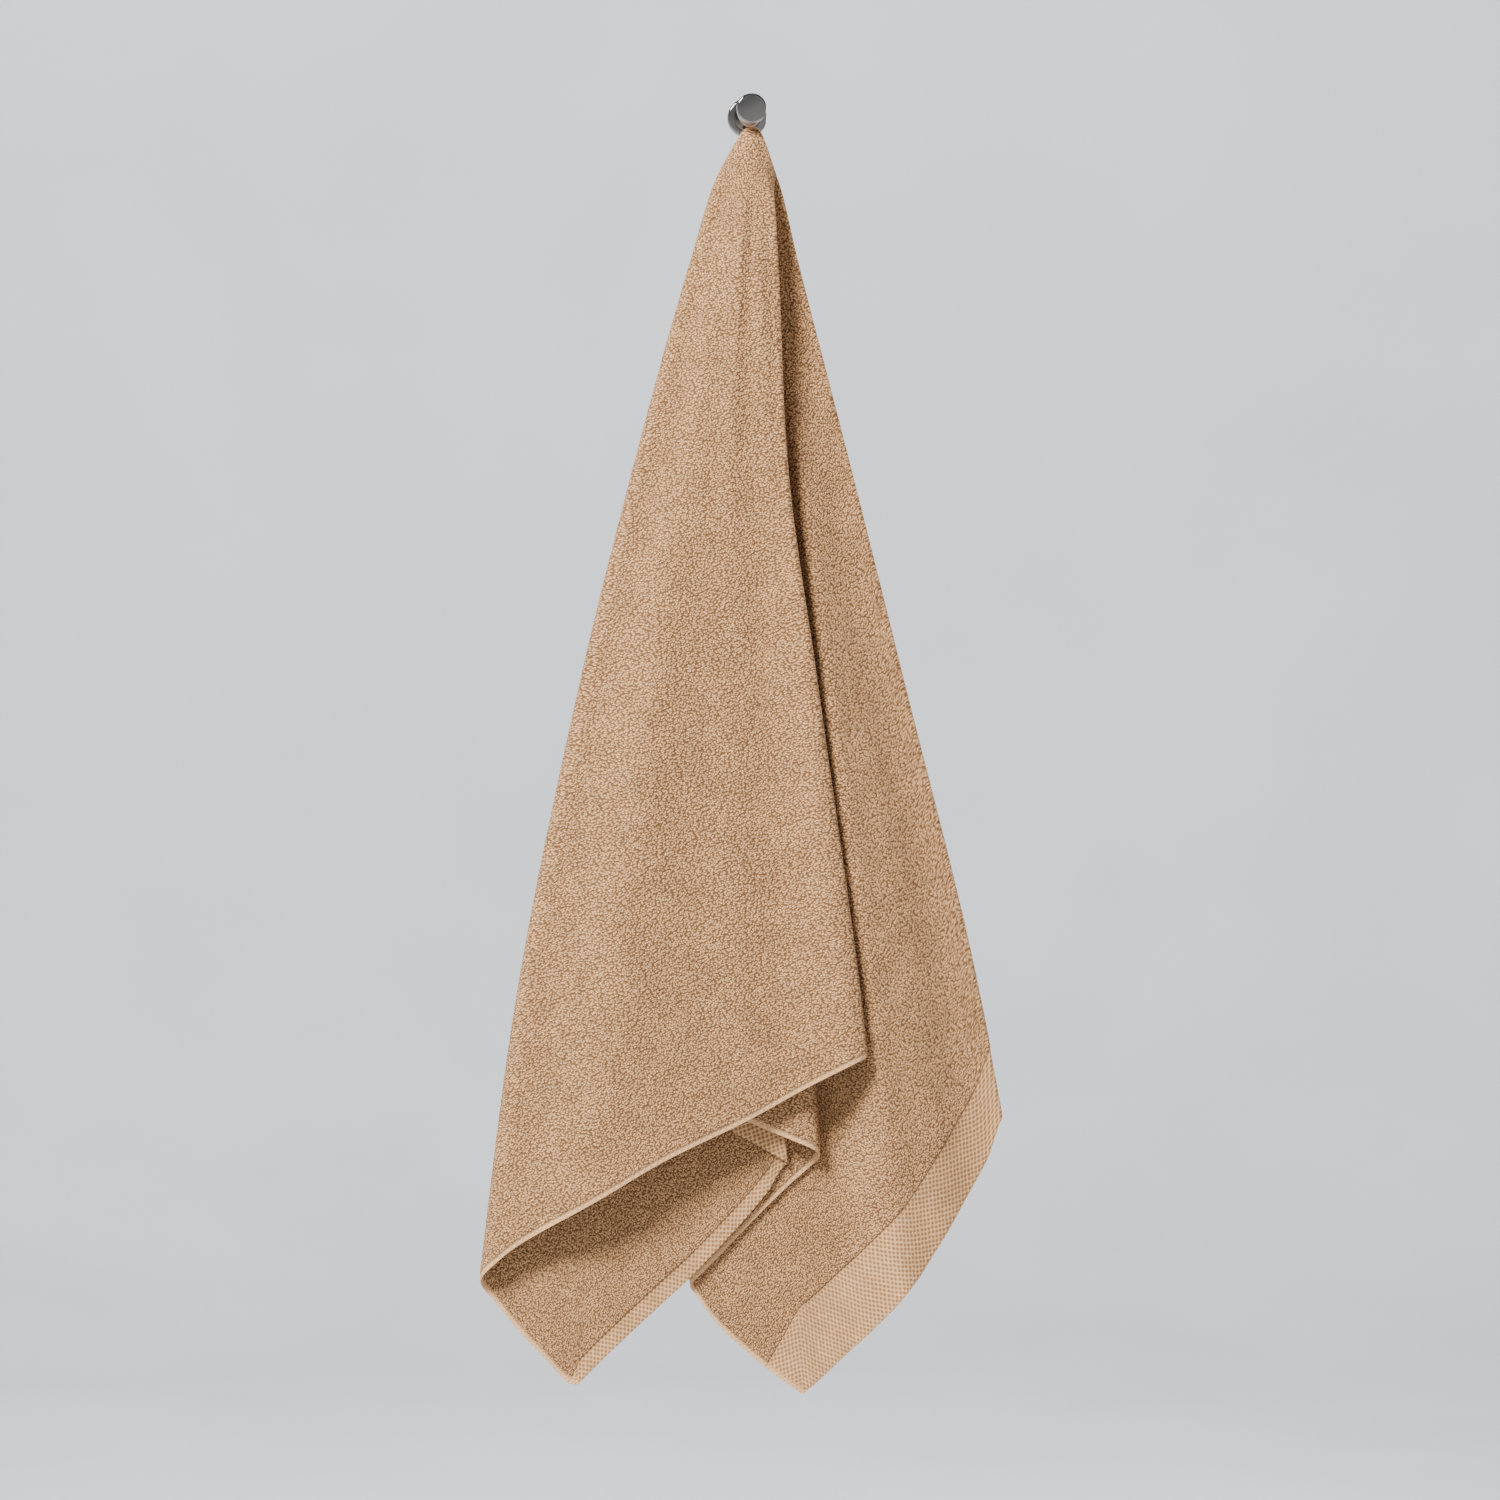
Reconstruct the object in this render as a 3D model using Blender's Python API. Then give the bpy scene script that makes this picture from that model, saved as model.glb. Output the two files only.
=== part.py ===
"""Bath towel hanging by its loop from a round wall hook.

The towel is one rectangle of terry cloth, carried at the middle of one long side. From that
point it falls in a fan of folds, so each fold runs from the hang point to the towel's edge.
Origin: middle of the wall plate's back. +Z is up, the wall lies along y = 0, the room is at -Y.
"""
import math

import bmesh
import bpy

MM = 0.001

# Cloth, in millimetres
CLOTH_ACROSS = 700.0          # from the hung long side to the far long side
CLOTH_HALF_LENGTH = 700.0     # from the hang point to either short side
THICKNESS = 2.4
THICKNESS_AT_HOOD = 1.6       # the cloth is pressed together where it is gathered
HANG_POINT = (1.0, -40.0, -13.0)

# Places across the wall, in millimetres from the hang point, are given at these distances
# from the hang point, measured along the cloth
REACHES = (0.0, 45.0, 110.0, 250.0, 450.0, 700.0, 920.0)

# One row for each end of the cloth and each fold, in the order met along the far edge.
# side: -1 is a left-hand fold, 1 is a right-hand one. angle: where the fold leaves the hang
# point on the flat cloth, in degrees from straight across it. The rest: place at each reach.
FOLDS = (
    # name, side, angle, place at each of REACHES
    ("inner end", 0, -90.0, (0.0, -9.0, -2.0, 6.0, 18.0, 32.0, 40.0)),
    ("inner left", -1, -71.6, (0.0, -10.6, -36.0, -66.0, -106.0, -160.0, -190.0)),
    ("lower right", 1, -56.8, (0.0, -10.2, -14.0, -8.0, 4.0, 22.0, 32.0)),
    ("left side", -1, -38.6, (0.0, -25.5, -45.5, -84.5, -135.0, -185.0, -214.0)),
    ("front right", 1, -18.5, (0.0, 14.0, 18.5, 24.5, 50.0, 83.5, 105.0)),
    ("first left", -1, -2.8, (0.0, 13.6, -12.0, -36.0, -70.0, -111.0, -140.0)),
    ("first right", 1, 9.4, (0.0, 15.0, 11.0, 17.0, 26.0, 39.0, 50.0)),
    ("second left", -1, 20.8, (0.0, 14.6, -11.0, -33.0, -64.0, -106.0, -136.0)),
    ("second right", 1, 31.7, (0.0, 16.4, 10.0, 15.0, 27.0, 44.5, 61.0)),
    ("back left", -1, 38.6, (0.0, 16.0, -6.0, -20.0, -34.0, -44.0, -47.0)),
    ("right side", 1, 58.3, (0.0, 20.5, 36.5, 71.0, 118.0, 176.5, 217.0)),
    ("outer end", 0, 90.0, (0.0, -2.0, -25.0, -62.0, -110.0, -150.0, -180.0)),
)

# How much shorter the cloth hangs than it lies flat, through small crumples, along lines at
# these angles; below 0 it hangs longer, where its weight pulls it on the bias
SLACK = (
    # angle on the flat cloth, slack
    (-90.0, 0.015), (-71.6, 0.020), (-56.5, 0.033), (-55.6, 0.0215), (-53.2, 0.009),
    (-50.5, 0.002), (-46.2, 0.001), (-45.0, 0.0), (-44.5, -0.0092), (-43.1, -0.0165),
    (-41.3, -0.0245), (-38.6, -0.029), (-36.6, -0.0185), (-33.1, -0.011), (-29.3, -0.002),
    (-25.3, 0.001), (-21.3, 0.009), (-18.5, 0.0125), (31.7, 0.022), (38.6, -0.0125),
    (40.4, -0.021), (42.5, -0.016), (44.3, -0.0075), (45.0, -0.003), (45.7, -0.0076),
    (47.3, -0.0155), (49.2, -0.0225), (51.7, -0.0225), (53.6, -0.0165), (55.4, -0.0075),
    (57.1, 0.004), (58.3, 0.028), (90.0, 0.015),
)
SLACK_ANGLES, SLACK_SHARES = zip(*SLACK)

# One row for each panel between two folds. Layers count from the front, 1, to the back, 11.
# The front panel starts further back, where it comes round the left side.
PANELS = (
    # name, layer at its first fold, layer at its last fold, flat strips
    ("inner", 6, 6, 3),
    ("middle", 7, 7, 3),
    ("lower front", 8, 8, 6),
    ("front", 4, 1, 8),
    ("first pleat back", 2, 2, 3),
    ("first pleat front", 3, 3, 3),
    ("second pleat back", 4, 4, 3),
    ("second pleat front", 5, 5, 3),
    ("under pleat", 9, 9, 3),
    ("right", 10, 10, 6),
    ("back", 11, 11, 6),
)
MIDDLE_LAYER = 6
LAYER_CHANGE = 0.5            # the part of a panel on which it changes from layer to layer
LAYER_PITCH = (1.0, 3.0, 3.6, 3.9, 4.4, 5.0, 5.5)     # depth of one layer at each of REACHES
DEEPEST_TURN = 10.0                                   # how far a wide fold's round end reaches
TURN_STRIPS = 2                                       # strips in each half of a fold's turn
TURN_SHARE = 0.22                                     # most of a panel that one half turn takes
ARC_TO_CHORD = 1.08
CORNER_ANGLE = math.degrees(math.atan2(CLOTH_HALF_LENGTH, CLOTH_ACROSS))

# The hood: near the hang point the cloth is one oval shell, open in a slit at the back
HOOD_REACHES = (0.0, 7.0, 15.0, 45.0, 110.0)
HOOD_LEFT = (0.0, -6.4, -11.0, -25.5, -45.5)
HOOD_RIGHT = (0.0, 6.4, 10.0, 20.0, 36.0)
HOOD_DEPTH = (0.0, 5.0, 8.0, 13.0, 17.0)
HOOD_START, HOOD_TURN = 100.0, 330.0                  # degrees round the oval
HOOD_ENDS, FOLDS_BEGIN = 18.0, 60.0                   # reach
SECTION_ROUNDING = 0.85                               # how far the sides of the hood close up

# Soft swells of the two panels that show, always towards the room, clear of the layers behind.
# across: 0 at the left side, 1 at the right; width likewise
SWELLS = (
    # panel, across, width, rise, reach where it starts, reach where it is full
    (3, 0.18, 0.13, 6.0, 240.0, 520.0),
    (3, 0.60, 0.07, 4.0, 60.0, 140.0),
    (3, 0.22, 0.10, 3.0, 60.0, 140.0),
    (9, 0.805, 0.08, 24.0, 90.0, 520.0),
    (9, 0.765, 0.042, 13.0, 90.0, 520.0),
)

ROWS = 20
ROW_CROWDING = 1.9            # above 1 the rows crowd towards the hang point
MEAN_REACH = 800.0            # rows near the hang point lie at one reach for all columns

# Hook, in millimetres
PLATE_RADIUS, PLATE_DEPTH = 15.5, 6.5
KNOB_RADIUS, KNOB_DEPTH = 11.7, 6.0
STEM_RADIUS, STEM_FOOT_RADIUS = 8.5, 10.5
PROJECTION = 57.0
CHAMFER = 1.0
GAP = 0.3
TURNED_STEPS = 48
LOOP_WIDTH, LOOP_THICKNESS = 8.0, 1.2
LOOP_STEPS = 24


def remove_all_objects():
    for obj in list(bpy.data.objects):
        bpy.data.objects.remove(obj, do_unlink=True)


def material(name, colour, roughness, metallic=0.0):
    mat = bpy.data.materials.new(name)
    mat.use_nodes = True
    shader = mat.node_tree.nodes["Principled BSDF"]
    shader.inputs["Base Color"].default_value = (*colour, 1.0)
    shader.inputs["Roughness"].default_value = roughness
    shader.inputs["Metallic"].default_value = metallic
    return mat


def add_object(name, mesh, mat):
    obj = bpy.data.objects.new(name, mesh)
    mesh.materials.append(mat)
    bpy.context.scene.collection.objects.link(obj)
    return obj


def slopes(stops, values):
    """Slope at each stop of a smooth curve that never passes beyond its values."""
    steps = [(values[i + 1] - values[i]) / (stops[i + 1] - stops[i]) for i in range(len(stops) - 1)]
    inner = [0.0 if a * b <= 0 else 2 * a * b / (a + b) for a, b in zip(steps, steps[1:])]
    return [steps[0]] + inner + [steps[-1]]


def smooth_at(stops, values, place):
    """Value of the smooth curve through the stops; it runs straight on past the last one."""
    tangents = slopes(stops, values)
    if place >= stops[-1]:
        return values[-1] + tangents[-1] * (place - stops[-1])
    i = max(k for k in range(len(stops) - 1) if stops[k] <= place)
    gap = stops[i + 1] - stops[i]
    t = (place - stops[i]) / gap
    start = values[i] * (1 + 2 * t) * (1 - t) ** 2 + gap * tangents[i] * t * (1 - t) ** 2
    end = values[i + 1] * t * t * (3 - 2 * t) + gap * tangents[i + 1] * t * t * (t - 1)
    return start + end


def ease(place, start, end):
    """0 before the start, 1 after the end, and a soft rise between them."""
    t = min(max((place - start) / (end - start), 0.0), 1.0)
    return t * t * (3 - 2 * t)


def fold_place(fold, reach):
    return smooth_at(REACHES, FOLDS[fold][3], reach)


def layer_depth(layer, reach):
    """Depth of a layer's middle, from the hang point towards the wall."""
    return (layer - MIDDLE_LAYER) * smooth_at(REACHES, LAYER_PITCH, reach)


def half_turn(fold, panel, reach):
    """The quarter of a fold that lies on one panel: its place, mid depth, rise and full bulge."""
    panel_end = 1 if fold == panel else 2
    own = layer_depth(PANELS[panel][panel_end], reach)
    if FOLDS[fold][1] == 0:
        return fold_place(fold, reach), own, 0.0, 0.0
    before = layer_depth(PANELS[fold - 1][2], reach)
    after = layer_depth(PANELS[fold][1], reach)
    middle = (before + after) / 2
    rise = own - middle
    return fold_place(fold, reach), middle, rise, min(abs(rise), DEEPEST_TURN)


def panel_point(panel, stop, reach):
    """Place and depth on a panel. stop: 0 to 1 on its first half turn, 1 to 2 on its flat
    part, 2 to 3 on its last half turn."""
    start, start_mid, start_rise, start_full = half_turn(panel, panel, reach)
    end, end_mid, end_rise, end_full = half_turn(panel + 1, panel, reach)
    heading = 1 if end > start else -1
    width = abs(end - start)
    room = width / max(start_full + end_full, 1e-6)
    start_bulge, end_bulge = start_full * min(room, 1.0), end_full * min(room, 1.0)
    bend = 2 * math.atan(min(room, 1.0))
    start_arc = math.hypot(start_bulge, start_rise) * ARC_TO_CHORD
    end_arc = math.hypot(end_bulge, end_rise) * ARC_TO_CHORD
    flat = max(width - start_bulge - end_bulge, 0.0)
    length = start_arc + flat + end_arc
    start_share, end_share = min(start_arc, TURN_SHARE * length), min(end_arc, TURN_SHARE * length)
    if stop <= 1:
        travel = start_share * stop
    elif stop <= 2:
        travel = start_share + (length - start_share - end_share) * (stop - 1)
    else:
        travel = length - end_share * (3 - stop)
    if travel < start_arc:
        turned = bend * travel / start_arc
        across = start + heading * start_bulge * (1 - math.cos(turned)) / (1 - math.cos(bend))
        return across, start_mid + start_rise * math.sin(turned) / math.sin(bend)
    if travel > length - end_arc:
        turned = bend * (length - travel) / end_arc
        across = end - heading * end_bulge * (1 - math.cos(turned)) / (1 - math.cos(bend))
        return across, end_mid + end_rise * math.sin(turned) / math.sin(bend)
    crossed = travel - start_arc
    first_layer, last_layer = PANELS[panel][1:3]
    change = ease(crossed, 0.0, max(LAYER_CHANGE * flat, 0.01))
    layer = first_layer + (last_layer - first_layer) * change
    return start + heading * (start_bulge + crossed), layer_depth(layer, reach)


def edge_reach(angle):
    """Distance from the hang point to the towel's edge, at an angle on the flat cloth."""
    radians = math.radians(angle)
    if abs(angle) <= CORNER_ANGLE:
        return CLOTH_ACROSS / math.cos(radians)
    return CLOTH_HALF_LENGTH / abs(math.sin(radians))


def turn_angle(fold):
    """Angle on the flat cloth that one half of a fold's turn takes at the towel's edge."""
    reach = edge_reach(FOLDS[fold][2])
    rise, bulge = half_turn(fold, fold - 1, reach)[2:] if FOLDS[fold][1] else (0.0, 0.0)
    return math.degrees(math.hypot(rise, bulge) * ARC_TO_CHORD / reach)


def columns():
    """One (panel, stop, cloth angle) for each line of points from the hang point to the edge."""
    lines = []
    for panel, (_, _, _, strips) in enumerate(PANELS):
        first = FOLDS[panel][2] + turn_angle(panel)
        last = FOLDS[panel + 1][2] - turn_angle(panel + 1)
        if FOLDS[panel][1]:
            for i in range(TURN_STRIPS):
                share = i / TURN_STRIPS
                lines.append((panel, share, first - turn_angle(panel) * (1 - share)))
        shares = [i / strips for i in range(strips + 1)]
        for corner in (-CORNER_ANGLE, CORNER_ANGLE):
            if first < corner < last:
                share = (corner - first) / (last - first)
                nearest = min(range(1, strips), key=lambda i: abs(shares[i] - share))
                shares[nearest] = share
        lines += [(panel, 1 + share, first + (last - first) * share) for share in shares]
        if FOLDS[panel + 1][1]:
            for i in range(1, TURN_STRIPS):
                share = i / TURN_STRIPS
                lines.append((panel, 2 + share, last + turn_angle(panel + 1) * share))
    return lines


def shares_round_hood(lines):
    """How far along the folded section each column lies, from 0 to 1, where the folds begin."""
    places = [panel_point(panel, stop, HOOD_REACHES[3]) for panel, stop, _ in lines]
    travelled = [0.0]
    for here, there in zip(places, places[1:]):
        travelled.append(travelled[-1] + math.dist(here, there))
    return [distance / travelled[-1] for distance in travelled]


def hood_point(share, reach):
    left = smooth_at(HOOD_REACHES, HOOD_LEFT, reach)
    right = smooth_at(HOOD_REACHES, HOOD_RIGHT, reach)
    turned = math.radians(HOOD_START + HOOD_TURN * share)
    across = (left + right) / 2 + (right - left) / 2 * math.cos(turned)
    return across, smooth_at(HOOD_REACHES, HOOD_DEPTH, reach) * math.sin(turned)


def swell(panel, stop, across, reach):
    """How far a panel swells towards the room; its folds stay where they are."""
    left, right = fold_place(3, reach), fold_place(10, reach)
    share = (across - left) / max(right - left, 1.0)
    inside = ease(stop, 0.0, 1.3) * ease(3.0 - stop, 0.0, 1.3)
    return inside * sum(
        rise * math.exp(-(((share - middle) / width) ** 2)) * ease(reach, start, full)
        for owner, middle, width, rise, start, full in SWELLS if owner == panel)


def cloth_point(column, hood_share, reach):
    """The point of the cloth's mid-surface on a column at a distance from the hang point."""
    panel, stop, angle = column
    across, depth = panel_point(panel, stop, reach)
    left, right = fold_place(3, reach), fold_place(10, reach)
    off_middle = min(abs(across - (left + right) / 2) / max((right - left) / 2, 1.0), 1.0)
    closing = SECTION_ROUNDING * (1 - ease(reach, HOOD_ENDS, HOOD_REACHES[3]))
    depth *= math.sqrt(1 - closing * off_middle ** 2)
    folded = ease(reach, HOOD_ENDS, FOLDS_BEGIN)
    hood_across, hood_depth = hood_point(hood_share, reach)
    across = hood_across + (across - hood_across) * folded
    depth = hood_depth + (depth - hood_depth) * folded - swell(panel, stop, across, reach)
    slack = smooth_at(SLACK_ANGLES, SLACK_SHARES, angle)
    hung = reach * (1 - ease(reach, HOOD_ENDS, REACHES[4]) * slack)
    drop = math.sqrt(max(hung ** 2 - across ** 2 - depth ** 2, 0.0))
    x, y, z = HANG_POINT
    return (x + across) * MM, (y + depth) * MM, (z - drop) * MM


def build_towel(mat):
    lines = columns()
    hood_shares = shares_round_hood(lines)
    points = [tuple(value * MM for value in HANG_POINT)]
    thin = [THICKNESS_AT_HOOD / THICKNESS]
    for row in range(1, ROWS + 1):
        crowded = (row / ROWS) ** ROW_CROWDING
        for line, share in zip(lines, hood_shares):
            reach = crowded * (MEAN_REACH + (edge_reach(line[2]) - MEAN_REACH) * crowded)
            points.append(cloth_point(line, share, reach))
            thin.append(thin[0] + (1 - thin[0]) * ease(reach, FOLDS_BEGIN, 3 * FOLDS_BEGIN))
    count = len(lines)
    faces = [(0, 1 + i, 2 + i) for i in range(count - 1)]
    for row in range(ROWS - 1):
        first = 1 + row * count
        faces += [(first + i, first + count + i, first + count + i + 1, first + i + 1)
                  for i in range(count - 1)]
    mesh = bpy.data.meshes.new("towel")
    mesh.from_pydata(points, [], faces)
    mesh.shade_smooth()
    towel = add_object("towel", mesh, mat)
    group = towel.vertex_groups.new(name="thickness")
    for index, weight in enumerate(thin):
        group.add([index], weight, "REPLACE")
    solid = towel.modifiers.new("cloth thickness", "SOLIDIFY")
    solid.thickness = THICKNESS * MM
    solid.offset = 0.0
    solid.use_quality_normals = True
    solid.vertex_group = group.name
    return towel


def build_turned(name, profile, mat):
    """A solid turned round the Y axis. profile: (depth, radius) from the room to the wall,
    in millimetres; it starts and ends on the axis."""
    mesh = bpy.data.meshes.new(name)
    shape = bmesh.new()
    points = [shape.verts.new((radius * MM, -depth * MM, 0.0)) for depth, radius in profile]
    edges = [shape.edges.new(pair) for pair in zip(points, points[1:])]
    bmesh.ops.spin(shape, geom=points + edges, cent=(0, 0, 0), axis=(0, 1, 0),
                   angle=2 * math.pi, steps=TURNED_STEPS, use_merge=True)
    bmesh.ops.remove_doubles(shape, verts=shape.verts, dist=0.00001)
    bmesh.ops.recalc_face_normals(shape, faces=shape.faces)
    shape.to_mesh(mesh)
    shape.free()
    mesh.shade_smooth()
    mesh.set_sharp_from_angle(angle=math.radians(35))
    return add_object(name, mesh, mat)


def build_hook(mat):
    knob_back = PROJECTION - KNOB_DEPTH
    build_turned("hook_plate", (
        (PLATE_DEPTH, 0.0), (PLATE_DEPTH, PLATE_RADIUS - CHAMFER),
        (PLATE_DEPTH - CHAMFER, PLATE_RADIUS), (0.0, PLATE_RADIUS), (0.0, 0.0)), mat)
    foot = PLATE_DEPTH + GAP
    build_turned("hook_stem", (
        (knob_back - GAP, 0.0), (knob_back - GAP, STEM_RADIUS), (foot + 7.0, STEM_RADIUS),
        (foot + 3.0, STEM_RADIUS + 0.4), (foot + 1.0, STEM_RADIUS + 1.1),
        (foot, STEM_FOOT_RADIUS), (foot, 0.0)), mat)
    build_turned("hook_knob", (
        (PROJECTION, 0.0), (PROJECTION, KNOB_RADIUS - CHAMFER),
        (PROJECTION - CHAMFER, KNOB_RADIUS), (knob_back + 0.5, KNOB_RADIUS),
        (knob_back, KNOB_RADIUS - 0.5), (knob_back, 0.0)), mat)


def build_loop(mat):
    """Tape loop: round the stem's top, then down both sides to the towel's top."""
    inner = STEM_RADIUS + GAP
    outer = inner + LOOP_THICKNESS
    bottom = HANG_POINT[2] + THICKNESS_AT_HOOD / 2 + GAP
    outline = []
    for radius, lowest in ((outer, bottom), (inner, bottom + LOOP_THICKNESS)):
        ring = []
        for i in range(LOOP_STEPS):
            turned = 2 * math.pi * i / LOOP_STEPS
            height = radius * math.cos(turned)
            pull = max(-math.cos(turned), 0.0) ** 3
            ring.append((radius * math.sin(turned), height + (lowest + radius) * pull))
        outline.append(ring)
    mesh = bpy.data.meshes.new("hanger_loop")
    shape = bmesh.new()
    rings = []
    for ring in outline:
        for depth in (HANG_POINT[1] - LOOP_WIDTH / 2, HANG_POINT[1] + LOOP_WIDTH / 2):
            rings.append([shape.verts.new((x * MM, depth * MM, z * MM)) for x, z in ring])
    outer_room, outer_wall, inner_room, inner_wall = rings
    for i in range(LOOP_STEPS):
        j = (i + 1) % LOOP_STEPS
        for one, other in ((outer_room, outer_wall), (outer_wall, inner_wall),
                           (inner_wall, inner_room), (inner_room, outer_room)):
            shape.faces.new((one[i], one[j], other[j], other[i]))
    bmesh.ops.recalc_face_normals(shape, faces=shape.faces)
    shape.to_mesh(mesh)
    shape.free()
    return add_object("hanger_loop", mesh, mat)


remove_all_objects()
build_towel(material("terry", (0.62, 0.42, 0.26), 0.95))
build_loop(material("tape", (0.66, 0.47, 0.31), 0.9))
build_hook(material("chrome", (0.55, 0.55, 0.56), 0.12, 1.0))
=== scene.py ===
"""Bath towel hanging by its loop from a round wall hook.

The frame's origin is the middle of the wall plate's back, with the wall at y = 0, the room
at -Y and +Z up. Sizes are in millimetres unless a name says otherwise.
"""
import math

import bpy
import numpy as np
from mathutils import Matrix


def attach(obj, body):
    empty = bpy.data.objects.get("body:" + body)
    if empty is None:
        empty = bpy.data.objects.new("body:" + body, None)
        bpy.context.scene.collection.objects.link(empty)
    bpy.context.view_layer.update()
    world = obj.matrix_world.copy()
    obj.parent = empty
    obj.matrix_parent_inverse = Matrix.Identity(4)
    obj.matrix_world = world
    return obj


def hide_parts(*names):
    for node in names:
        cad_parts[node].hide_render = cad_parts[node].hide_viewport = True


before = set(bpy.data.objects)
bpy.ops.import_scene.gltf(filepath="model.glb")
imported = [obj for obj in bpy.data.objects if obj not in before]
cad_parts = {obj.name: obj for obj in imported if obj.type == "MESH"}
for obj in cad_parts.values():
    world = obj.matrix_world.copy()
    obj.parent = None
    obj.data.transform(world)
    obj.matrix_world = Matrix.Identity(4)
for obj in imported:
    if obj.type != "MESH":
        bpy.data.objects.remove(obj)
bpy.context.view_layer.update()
MM = 0.001


# Towel: one rectangle of cotton terry, woven with loops on both faces, flat along its four
# edges and hemmed there. It hangs from the middle of one long side, so it falls in a fan of
# folds that all start at the hang point.
CLOTH_ACROSS, CLOTH_HALF_LENGTH = 700.0, 700.0
HANG_POINT = (1.0, -40.0, -13.0)
REACHES = (0.0, 45.0, 110.0, 250.0, 450.0, 700.0, 920.0)

# Each end of the cloth and each fold, in the order met along the far edge. Side -1 is a
# left-hand fold, 1 a right-hand one; the places lie across the wall at each of REACHES
FOLDS = (
    # name, side, angle on the flat cloth, place at each reach
    ("inner end", 0, -90.0, (0.0, -9.0, -2.0, 6.0, 18.0, 32.0, 40.0)),
    ("inner left", -1, -71.6, (0.0, -10.6, -36.0, -66.0, -106.0, -160.0, -190.0)),
    ("lower right", 1, -56.8, (0.0, -10.2, -14.0, -8.0, 4.0, 22.0, 32.0)),
    ("left side", -1, -38.6, (0.0, -25.5, -45.5, -84.5, -135.0, -185.0, -214.0)),
    ("front right", 1, -18.5, (0.0, 14.0, 18.5, 24.5, 50.0, 83.5, 105.0)),
    ("first left", -1, -2.8, (0.0, 13.6, -12.0, -36.0, -70.0, -111.0, -140.0)),
    ("first right", 1, 9.4, (0.0, 15.0, 11.0, 17.0, 26.0, 39.0, 50.0)),
    ("second left", -1, 20.8, (0.0, 14.6, -11.0, -33.0, -64.0, -106.0, -136.0)),
    ("second right", 1, 31.7, (0.0, 16.4, 10.0, 15.0, 27.0, 44.5, 61.0)),
    ("back left", -1, 38.6, (0.0, 16.0, -6.0, -20.0, -34.0, -44.0, -47.0)),
    ("right side", 1, 58.3, (0.0, 20.5, 36.5, 71.0, 118.0, 176.5, 217.0)),
    ("outer end", 0, 90.0, (0.0, -2.0, -25.0, -62.0, -110.0, -150.0, -180.0)),
)
# How much shorter the cloth hangs than it lies flat, through small crumples, along lines at
# these angles; below 0 it hangs longer, where its weight pulls it on the bias
SLACK = (
    # angle on the flat cloth, slack
    (-90.0, 0.015), (-71.6, 0.020), (-56.5, 0.033), (-55.6, 0.0215), (-53.2, 0.009),
    (-50.5, 0.002), (-46.2, 0.001), (-45.0, 0.0), (-44.5, -0.0092), (-43.1, -0.0165),
    (-41.3, -0.0245), (-38.6, -0.029), (-36.6, -0.0185), (-33.1, -0.011), (-29.3, -0.002),
    (-25.3, 0.001), (-21.3, 0.009), (-18.5, 0.0125), (31.7, 0.022), (38.6, -0.0125),
    (40.4, -0.021), (42.5, -0.016), (44.3, -0.0075), (45.0, -0.003), (45.7, -0.0076),
    (47.3, -0.0155), (49.2, -0.0225), (51.7, -0.0225), (53.6, -0.0165), (55.4, -0.0075),
    (57.1, 0.004), (58.3, 0.028), (90.0, 0.015),
)
SLACK_ANGLES, SLACK_SHARES = zip(*SLACK)
PANELS = (
    # name, layer at its first fold, layer at its last fold, flat strips
    ("inner", 6, 6, 12),
    ("middle", 7, 7, 12),
    ("lower front", 8, 8, 40),
    ("front", 4, 1, 60),
    ("first pleat back", 2, 2, 12),
    ("first pleat front", 3, 3, 12),
    ("second pleat back", 4, 4, 12),
    ("second pleat front", 5, 5, 14),
    ("under pleat", 9, 9, 20),
    ("right", 10, 10, 48),
    ("back", 11, 11, 30),
)
FRONT, RIGHT = 3, 9                  # the two panels that show most, by their place in PANELS
LEFT_SIDE, RIGHT_SIDE = 3, 10        # the folds at the towel's sides, by their place in FOLDS
MIDDLE_LAYER, LAYER_CHANGE = 6, 0.5
LAYER_PITCH = (1.0, 3.0, 3.6, 3.9, 4.4, 5.0, 5.5)
DEEPEST_TURN, TURN_STRIPS, TURN_SHARE, ARC_TO_CHORD = 10.0, 5, 0.22, 1.08
CORNER_ANGLE = math.degrees(math.atan2(CLOTH_HALF_LENGTH, CLOTH_ACROSS))
HOOD_REACHES = (0.0, 7.0, 15.0, 45.0, 110.0)
HOOD_LEFT = (0.0, -6.4, -11.0, -25.5, -45.5)
HOOD_RIGHT = (0.0, 6.4, 10.0, 20.0, 36.0)
HOOD_DEPTH = (0.0, 5.0, 8.0, 13.0, 17.0)
HOOD_START, HOOD_TURN, HOOD_ENDS, FOLDS_BEGIN = 100.0, 330.0, 18.0, 60.0
SECTION_ROUNDING = 0.85
SLACK_FULL = REACHES[4]
CLOTH_SETTLED = 500.0                # reach from which the weave runs as it does on flat cloth
EDGE_FOLLOWED = 0.6                  # share of the way out from which rows follow the edge
SWELL_CLEAR = 1.3                    # stops over which a swell dies out towards a fold

# Soft swells of the panels that show; across runs from 0 at the left side to 1 at the right
SWELLS = (
    # panel, across, width, rise, reach where it starts, reach where it is full
    (FRONT, 0.18, 0.13, 6.0, 240.0, 520.0),
    (FRONT, 0.60, 0.07, 4.0, 60.0, 140.0),
    (FRONT, 0.22, 0.10, 3.0, 60.0, 140.0),
    (RIGHT, 0.805, 0.08, 24.0, 90.0, 520.0),
    (RIGHT, 0.765, 0.042, 13.0, 90.0, 520.0),
    (FRONT, 0.71, 0.04, 7.0, 120.0, 420.0),
    (FRONT, 0.58, 0.07, -8.0, 160.0, 420.0),
    (FRONT, 0.43, 0.06, 3.5, 40.0, 110.0),
    (FRONT, 0.43, 0.06, -3.5, 220.0, 420.0),
    (FRONT, 0.20, 0.10, 5.0, 220.0, 520.0),
    (RIGHT, 0.88, 0.05, 9.0, 300.0, 620.0),
)

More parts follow.
